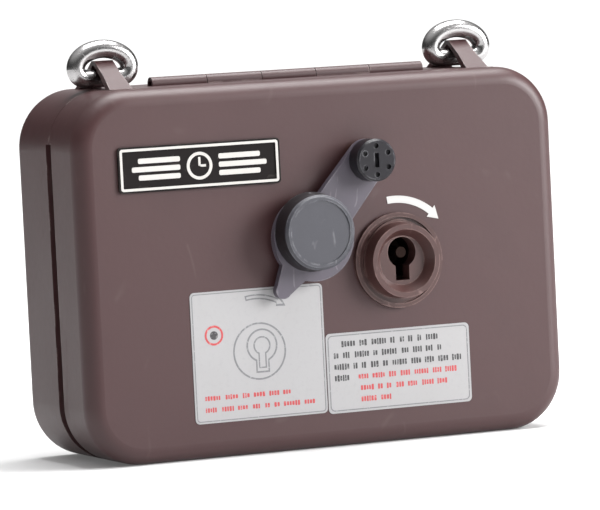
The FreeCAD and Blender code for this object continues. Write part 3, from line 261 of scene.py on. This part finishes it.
def sheet_label(name, colour, fleck):
    """Printed foil or paper: fibre mottling, faint creases and grubby edges."""
    s = Surface(name, colour, 0.38)
    s.tint(s.ramp(s.noise(45, 5.0), 0.42, 0.75, 0.0, 0.35),
           tuple(c * f for c, f in zip(colour, (0.93, 0.92, 0.90))))
    s.tint(s.ramp(s.noise(900, 3.0), 0.5, 0.8, 0.0, fleck), tuple(c * 0.8 for c in colour))
    s.tint(s.math("MULTIPLY", s.edges(0.0012), 0.45), tuple(c * 0.62 for c in colour))
    s.roughen(s.noise(80, 4.0), 0.2)
    s.bump(s.noise(1600, 3.0), 0.15, 0.00005)
    s.bump(s.noise(70, 3.0), 0.10, 0.0003)
    return s.done()


def ink(name, colour):
    """Printing ink with pinholes where it has worn thin."""
    s = Surface(name, colour, 0.5)
    s.tint(s.ramp(s.noise(1300, 3.0), 0.55, 0.72, 0.0, 0.5), tuple(c * 0.5 + 0.35 for c in colour))
    s.roughen(s.noise(500, 2.0), 0.1)
    s.bump(s.noise(1500, 2.0), 0.1, 0.00003)
    return s.done()


def tape_paper():
    """Plain recording paper, faintly mottled and grained."""
    s = Surface("tape_paper", (0.74, 0.70, 0.60), 0.8)
    s.tint(s.ramp(s.noise(70, 5.0), 0.4, 0.75, 0.0, 0.4), (0.66, 0.60, 0.48))
    s.tint(s.ramp(s.noise(1400, 3.0), 0.5, 0.8, 0.0, 0.25), (0.58, 0.53, 0.43))
    s.bump(s.noise(1200, 4.0), 0.25, 0.0001)
    return s.done()


def card():
    """Brown card tube."""
    s = Surface("core_card", (0.30, 0.19, 0.10), 0.85)
    s.tint(s.ramp(s.noise(600, 4.0), 0.45, 0.7, 0.0, 0.5), (0.40, 0.28, 0.17))
    s.bump(s.noise(900, 3.0), 0.4, 0.0001)
    return s.done()


def circuit_board():
    """Green glass-fibre board with a pale weave under the varnish."""
    s = Surface("board_green", (0.012, 0.075, 0.028), 0.3)
    weave = s.math("MULTIPLY", s.noise(900, 1.0, 0.5, (1.0, 1.0, 0.08)),
                   s.noise(900, 1.0, 0.5, (0.08, 1.0, 1.0)))
    s.tint(s.ramp(weave, 0.2, 0.4, 0.0, 0.5), (0.03, 0.13, 0.05))
    s.tint(s.math("MULTIPLY", s.edges(0.0004), 0.5), (0.25, 0.27, 0.12))
    s.bump(weave, 0.15, 0.0001)
    return s.done()


def cell_jacket():
    """A dry cell's foil jacket in two plain bands, with its bare steel end."""
    s = Surface("cell_jacket", (0.02, 0.025, 0.05), 0.3, metallic=0.6)
    along = s.add("ShaderNodeSeparateXYZ")
    s.link(s.place, along.inputs[0])
    low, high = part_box("battery_cell")
    band = low.x + (high.x - low.x) * 0.68
    s.tint(s.ramp(along.outputs["X"], band, band + 0.0003), (0.45, 0.26, 0.07))
    cap = high.x - 2.2 * MM
    s.tint(s.ramp(along.outputs["X"], cap, cap + 0.0002), (0.62, 0.61, 0.58))
    s.tint(s.ramp(s.noise(90, 4.0), 0.5, 0.75, 0.0, 0.3), (0.10, 0.10, 0.11))
    s.roughen(s.noise(200, 3.0), 0.15)
    s.bump(s.noise(400, 3.0), 0.06, 0.0001)
    return s.done()


MATERIALS = {
    "case_enamel": case_enamel(),
    "bright_chrome": plated("bright_chrome", (0.44, 0.43, 0.43), 0.16),
    "zinc_steel": brushed("zinc_steel", (0.50, 0.50, 0.48), 0.30),
    "turned_brass": brushed("turned_brass", (0.56, 0.38, 0.14), 0.26, (1.0, 20.0, 1.0), (0.28, 0.17, 0.06)),
    "arm_enamel": painted("arm_enamel", (0.072, 0.062, 0.080), 0.36, (0.30, 0.28, 0.30)),
    # The cap's side wall behind its front rim gets painted shade, near black
    "cap_face": painted("cap_face", (0.040, 0.040, 0.050), 0.44, (0.30, 0.30, 0.32),
                        shade_behind=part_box("dust_cap")[0].y + 0.9 * MM),
    "boss_black": painted("boss_black", (0.010, 0.009, 0.012), 0.28, (0.30, 0.30, 0.32), 0.4, specular=0.3),
    "lock_metal": painted("lock_metal", (0.056, 0.024, 0.022), 0.30, (0.34, 0.22, 0.20), 0.3, 0.08),
    "black_plate": painted("black_plate", (0.006, 0.004, 0.004), 0.6, (0.08, 0.07, 0.065), specular=0.15),
    "printed_label": sheet_label("printed_label", (0.33, 0.325, 0.33), 0.25),
    "white_print": sheet_label("white_print", (0.52, 0.51, 0.50), 0.15),
    "black_rubber": rubber(),
    "cell_jacket": cell_jacket(),
    "holder_plastic": moulded("holder_plastic", (0.022, 0.022, 0.024), 0.45),
    "spring_steel": brushed("spring_steel", (0.58, 0.57, 0.55), 0.22),
    "board_green": circuit_board(),
    "module_plastic": moulded("module_plastic", (0.035, 0.035, 0.038), 0.42),
    "dial_white": sheet_label("dial_white", (0.74, 0.73, 0.68), 0.1),
    "hand_black": painted("hand_black", (0.012, 0.012, 0.013), 0.4, (0.2, 0.2, 0.2)),
    "gear_plastic": moulded("gear_plastic", (0.62, 0.59, 0.50), 0.34, 0.15),
    "type_steel": brushed("type_steel", (0.24, 0.23, 0.22), 0.36, (1.0, 12.0, 1.0), (0.04, 0.035, 0.05)),
    "tape_paper": tape_paper(),
    "core_card": card(),
    "spool_plastic": moulded("spool_plastic", (0.026, 0.026, 0.029), 0.4),
}
# The lock rotor behind the keyhole is coloured near black: painted shade for the dark inside of the keyhole
ROTOR_PAINTED_SHADE = brushed("rotor_painted_shade", (0.022, 0.014, 0.012), 0.5, (1.0, 20.0, 1.0), (0.01, 0.007, 0.006))
INK_BLACK = ink("ink_black", (0.035, 0.033, 0.036))
INK_GREY = ink("ink_grey", (0.16, 0.16, 0.17))
INK_RED = ink("ink_red", (0.42, 0.045, 0.05))
INK_WHITE = sheet_label("ink_white", (0.52, 0.50, 0.48), 0.15)

for entry in frame["record"]["subparts"]:
    mesh = NODES[entry["node"]].data
    mesh.materials.clear()
    mesh.materials.append(ROTOR_PAINTED_SHADE if entry["node"] == "lock_rotor" else MATERIALS[entry["material_slot"]])


# ---------------------------------------------------------------- printed and pressed details
def circle(x, z, radius, count=72, start=0.0, end=360.0):
    """Points round a circle, or along an arc from one angle to another, in degrees from +X."""
    whole = end - start == 360.0
    steps = count if whole else count - 1
    angles = [math.radians(start + (end - start) * index / steps) for index in range(count)]
    return [(x + radius * math.cos(a), z + radius * math.sin(a)) for a in angles]


def rectangle(left, right, low, high, corner=0.0):
    """Points round a rectangle, with round corners if asked for."""
    if not corner:
        return [(left, low), (right, low), (right, high), (left, high)]
    points = []
    for x, z, start in ((right - corner, high - corner, 0), (left + corner, high - corner, 90),
                        (left + corner, low + corner, 180), (right - corner, low + corner, 270)):
        points += circle(x, z, corner, 8, start, start + 90)
    return points


def keyhole(x, z, radius, width, bottom):
    """Points round a keyhole: a circle with a stem that ends at a height."""
    lean = math.degrees(math.asin(width / 2 / radius))
    arc = circle(x, z, radius, 40, -90 + lean, 270 - lean)
    return arc + [(x - width / 2, bottom), (x + width / 2, bottom)]


def flat_piece(name, outlines, front, thickness, material, body):
    """A thin piece on the clock's face: outlines in millimetres, holes where one lies in another."""
    curve = bpy.data.curves.new(name, "CURVE")
    curve.dimensions = "2D"
    curve.fill_mode = "BOTH"
    curve.extrude = thickness / 2 * MM
    for outline in outlines:
        spline = curve.splines.new("POLY")
        spline.points.add(len(outline) - 1)
        for point, (x, z) in zip(spline.points, outline):
            point.co = (x * MM, z * MM, 0, 1)
        spline.use_cyclic_u = True
    flat = bpy.data.objects.new(name + "_flat", curve)
    flat.rotation_euler.x = math.radians(90)
    flat.location.y = (front + thickness / 2) * MM
    bpy.context.scene.collection.objects.link(flat)
    bpy.context.view_layer.update()
    mesh = bpy.data.meshes.new_from_object(flat)
    mesh.transform(flat.matrix_world)
    bpy.data.objects.remove(flat)
    piece = bpy.data.objects.new(name, mesh)
    bpy.context.scene.collection.objects.link(piece)
    mesh.materials.clear()
    mesh.materials.append(material)
    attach(piece, body)
    return piece


def box_mm(node):
    low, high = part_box(node)
    return [v / MM for v in low], [v / MM for v in high]


def printed_words(rows, seed, height):
    """Outlines of short bars in rows, as unreadable small print."""
    chance = random.Random(seed)
    outlines = []
    for left, right, z in rows:
        x = left
        while x < right - 1.0:
            strokes = chance.randint(2, 6)
            for _ in range(strokes):
                wide = chance.uniform(0.42, 0.72)
                tall = height * chance.uniform(0.72, 1.0)
                if x + wide > right:
                    break
                outlines.append(rectangle(x, x + wide, z - tall / 2, z + tall / 2, wide * 0.3))
                x += wide + 0.26
            x += chance.uniform(1.0, 1.5)
    return outlines


def nameplate_details():
    """A white border line and a plain band of bars round a small clock face, on the black plate."""
    low, high = box_mm("nameplate")
    outer = rectangle(low[0] + 0.55, high[0] - 0.55, low[2] + 0.55, high[2] - 0.55, 0.8)
    inner = rectangle(low[0] + 1.3, high[0] - 1.3, low[2] + 1.3, high[2] - 1.3, 0.3)
    flat_piece("nameplate_border", [outer, inner], low[1] - 0.04, 0.06, INK_WHITE, "cover")
    x = (low[0] + high[0]) / 2
    z = (low[2] + high[2]) / 2
    shapes = [circle(x, z, 4.0, 48), circle(x, z, 3.1, 48), rectangle(x - 0.35, x + 0.35, z, z + 2.5),
              rectangle(x + 0.35, x + 2.0, z - 0.35, z + 0.35)]
    for side in (-1, 1):
        for row, length in ((2.4, 13.0), (0.0, 15.0), (-2.4, 13.0)):
            near = x + side * 6.0
            far = near + side * length
            shapes.append(rectangle(min(near, far), max(near, far), z + row - 0.75, z + row + 0.75, 0.5))
    flat_piece("nameplate_emblem", shapes, low[1] + 0.24, 0.08, INK_WHITE, "cover")


def guide_label_details():
    """The left label's turning arrow, its keyhole drawing, a small red mark and two rows of bars."""
    low, high = box_mm("key_turn_label")
    front = low[1] - 0.03
    x = low[0] + 21.1
    z = low[2] + 19.7
    edge = [rectangle(low[0] + 0.5, high[0] - 0.5, low[2] + 0.5, high[2] - 0.5, 1.0),
            rectangle(low[0] + 0.75, high[0] - 0.75, low[2] + 0.75, high[2] - 0.75, 0.8)]
    drawing = [circle(x, z, 8.35), circle(x, z, 7.85),
               keyhole(x + 0.8, z + 1.6, 4.9, 4.3, z - 6.3), keyhole(x + 0.8, z + 1.6, 4.4, 3.4, z - 5.8),
               keyhole(x + 0.8, z + 1.6, 2.7, 2.5, z - 5.0), keyhole(x + 0.8, z + 1.6, 2.25, 1.7, z - 4.6)]
    flat_piece("guide_label_drawing", edge + drawing, front, 0.05, INK_GREY, "cover")
    flat_piece("guide_label_arrow", curved_arrow(x - 0.6, z + 0.5, 15.3, 1.5, 102, 52, 0.0)
               + curved_arrow(x - 0.6, z + 0.5, 15.3, 1.5, 102, 52, 0.42), front, 0.05, INK_GREY, "cover")
    mark_x = low[0] + 7.0
    mark_z = low[2] + 25.3
    ring = [circle(mark_x, mark_z, 2.9, 40), circle(mark_x, mark_z, 2.3, 40)]
    flat_piece("guide_label_mark", ring, front, 0.05, INK_RED, "cover")
    flat_piece("guide_label_dot", [circle(mark_x, mark_z, 1.25, 30)], front, 0.05, INK_BLACK, "cover")
    rows = [(low[0] + 3.3, low[0] + 31.0, low[2] + 7.2), (low[0] + 3.3, low[0] + 37.8, low[2] + 3.8)]
    flat_piece("guide_label_rows", printed_words(rows, 5, 1.5), front, 0.05, INK_RED, "cover")


def curved_arrow(x, z, radius, width, start, end, inset):
    """The outline of an arc-shaped arrow, its head at the end angle, drawn in by an inset."""
    half = width / 2 - inset
    head = 10.0
    back = end + head
    shift = math.degrees(inset / radius)
    outer = circle(x, z, radius + half, 24, start - shift, back + shift)
    inner = circle(x, z, radius - half, 24, back + shift, start - shift)
    wing = width * 1.05 - inset * 1.6
    barbs = [circle(x, z, radius + side * wing, 2, back + shift * 0.4, end)[0] for side in (1, -1)]
    tip = circle(x, z, radius, 2, end + shift * 2.4, end)[0]
    return [outer + [barbs[0], tip, barbs[1]] + inner]


def cover_label_details():
    """The right label's border line and its six rows of bars, the last in red."""
    low, high = box_mm("cover_label")
    front = low[1] - 0.03
    edge = [rectangle(low[0] + 0.6, high[0] - 0.6, low[2] + 0.6, high[2] - 0.6, 1.4),
            rectangle(low[0] + 0.9, high[0] - 0.9, low[2] + 0.9, high[2] - 0.9, 1.2)]
    flat_piece("cover_label_edge", edge, front, 0.05, INK_GREY, "cover")
    left, base = low[0], low[2]
    black = [(left + 5.0, left + 37.5, base + 20.1), (left + 2.4, left + 39.0, base + 16.8),
             (left + 2.4, left + 43.6, base + 13.5), (left + 2.4, left + 8.8, base + 10.2)]
    red = [(left + 10.0, left + 42.5, base + 10.2), (left + 10.6, left + 38.6, base + 6.9),
           (left + 10.6, left + 21.5, base + 3.6)]
    flat_piece("cover_label_black_rows", printed_words(black, 11, 1.9), front, 0.05, INK_BLACK, "cover")
    flat_piece("cover_label_red_rows", printed_words(red, 23, 1.7), front, 0.05, INK_RED, "cover")


def dial_details():
    """Minute ticks and hour numbers on the inner clock's dial."""
    low, high = box_mm("dial")
    x = (low[0] + high[0]) / 2
    z = (low[2] + high[2]) / 2
    radius = (high[0] - low[0]) / 2
    ticks = []
    for minute in range(60):
        angle = math.radians(minute * 6)
        long = minute % 5 == 0
        near = radius - (2.4 if long else 1.7)
        far = radius - 0.8
        half = 0.22 if long else 0.09
        across = (math.cos(angle) * half, -math.sin(angle) * half)
        out = (math.sin(angle), math.cos(angle))
        ticks.append([(x + out[0] * r + s * across[0], z + out[1] * r + s * across[1])
                      for r, s in ((near, -1), (near, 1), (far, 1), (far, -1))])
    flat_piece("dial_ticks", ticks, low[1] - 0.03, 0.05, INK_BLACK, "case")
    for hour in range(1, 13):
        angle = math.radians(hour * 30)
        text = bpy.data.curves.new(f"dial_number_{hour}", "FONT")
        text.body = str(hour)
        text.size = 3.6 * MM
        text.align_x = "CENTER"
        text.align_y = "CENTER"
        text.extrude = 0.02 * MM
        number = bpy.data.objects.new(f"dial_number_{hour}", text)
        number.rotation_euler.x = math.radians(90)
        reach = radius - 5.0
        number.location = ((x + math.sin(angle) * reach) * MM, (low[1] - 0.02) * MM,
                           (z + math.cos(angle) * reach) * MM)
        bpy.context.scene.collection.objects.link(number)
        text.materials.append(INK_BLACK)
        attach(number, "case")


nameplate_details()
guide_label_details()
cover_label_details()
dial_details()


# ---------------------------------------------------------------- floor, lights and camera
WORLD_GLOWS = (((0.403, 0.915, 0.0), 0.90, 0.985, 0.0, 1.05), ((0.0, 0.0, 1.0), 0.25, 0.95, 0.06, 0.75))


CAMERA_PLACE = Vector((-0.560, -1.2721, 0.1441))
CAMERA_TARGET = Vector((0.0003, 0.0, 0.0557))
CAMERA_ROLL = 2.87
CAMERA_LENS = 283.4
CAMERA_SENSOR = 36
CAMERA_REACH = 60
FLOOR_REACH = 2.6
KEY_LIGHT = ("key_light", (1.32, -1.00, 0.62), (0, 0, 0.05), 0.9, 50)
TOP_LIGHT = ("top_light", (0.35, 0.0, 1.8), (0, 0, 0.1), 1.3, 60)


def floor():
    """A wide plain pale floor, faintly uneven, glowing a little more towards its far edges."""
    s = Surface("studio_floor", (0.66, 0.66, 0.66), 0.8, specular=0.1)
    s.tint(s.ramp(s.noise(3, 3.0), 0.4, 0.7, 0.0, 0.4), (0.645, 0.645, 0.65))
    s.shader.inputs["Emission Color"].default_value = (1, 1, 1, 1)
    away = s.add("ShaderNodeVectorMath", operation="LENGTH")
    s.link(s.place, away.inputs[0])
    s.link(s.ramp(away.outputs["Value"], 0.5, 1.7, 0.10, 0.60), s.shader.inputs["Emission Strength"])
    mesh = bpy.data.meshes.new("studio_floor")
    reach = FLOOR_REACH
    mesh.from_pydata([(-reach, -reach, 0), (reach, -reach, 0), (reach, reach, 0), (-reach, reach, 0)], [],
                     [(0, 1, 2, 3)])
    mesh.materials.append(s.done())
    plane = bpy.data.objects.new("studio_floor", mesh)
    plane.location.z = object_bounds()[0][2]
    bpy.context.scene.collection.objects.link(plane)


def area_light(name, place, target, size, power, colour=(1, 1, 1)):
    """A square soft light aimed at a point."""
    lamp = bpy.data.lights.new(name, "AREA")
    lamp.shape = "SQUARE"
    lamp.size = size
    lamp.energy = power
    lamp.color = colour
    holder = bpy.data.objects.new(name, lamp)
    holder.location = place
    holder.rotation_euler = (Vector(target) - Vector(place)).to_track_quat("-Z", "Y").to_euler()
    bpy.context.scene.collection.objects.link(holder)


def surroundings():
    """A studio with a white backdrop behind the object, a soft ceiling, and dim sides and front."""
    world = bpy.data.worlds.new("studio")
    world.use_nodes = True
    tree = world.node_tree
    place = tree.nodes.new("ShaderNodeTexCoord")
    glow = None
    for toward, low, high, dim, bright in WORLD_GLOWS:
        facing = tree.nodes.new("ShaderNodeVectorMath")
        facing.operation = "DOT_PRODUCT"
        facing.inputs[1].default_value = toward
        tree.links.new(place.outputs["Generated"], facing.inputs[0])
        span = tree.nodes.new("ShaderNodeMapRange")
        span.interpolation_type = "SMOOTHSTEP"
        for index, value in enumerate((low, high, dim, bright), start=1):
            span.inputs[index].default_value = value
        tree.links.new(facing.outputs["Value"], span.inputs[0])
        if glow is not None:
            total = tree.nodes.new("ShaderNodeMath")
            tree.links.new(glow, total.inputs[0])
            tree.links.new(span.outputs[0], total.inputs[1])
            glow = total.outputs[0]
        else:
            glow = span.outputs[0]
    back = tree.nodes["Background"]
    back.inputs["Color"].default_value = (1, 1, 1, 1)
    tree.links.new(glow, back.inputs["Strength"])
    bpy.context.scene.world = world


def camera():
    """The viewpoint of the reference: from the front left, a little above, with a long lens."""
    data = bpy.data.cameras.new("camera")
    data.sensor_width = CAMERA_SENSOR
    data.lens = CAMERA_LENS
    data.clip_end = CAMERA_REACH
    view = bpy.data.objects.new("camera", data)
    view.location = CAMERA_PLACE
    turn = (CAMERA_TARGET - CAMERA_PLACE).to_track_quat("-Z", "Y").to_matrix()
    view.rotation_euler = (turn @ turn.__class__.Rotation(-math.radians(CAMERA_ROLL), 3, "Z")).to_euler()
    bpy.context.scene.collection.objects.link(view)
    bpy.context.scene.camera = view


floor()
surroundings()
area_light(*KEY_LIGHT)
area_light(*TOP_LIGHT)
camera()
bpy.context.scene.view_settings.view_transform = "Standard"
bpy.context.scene.view_settings.look = "None"
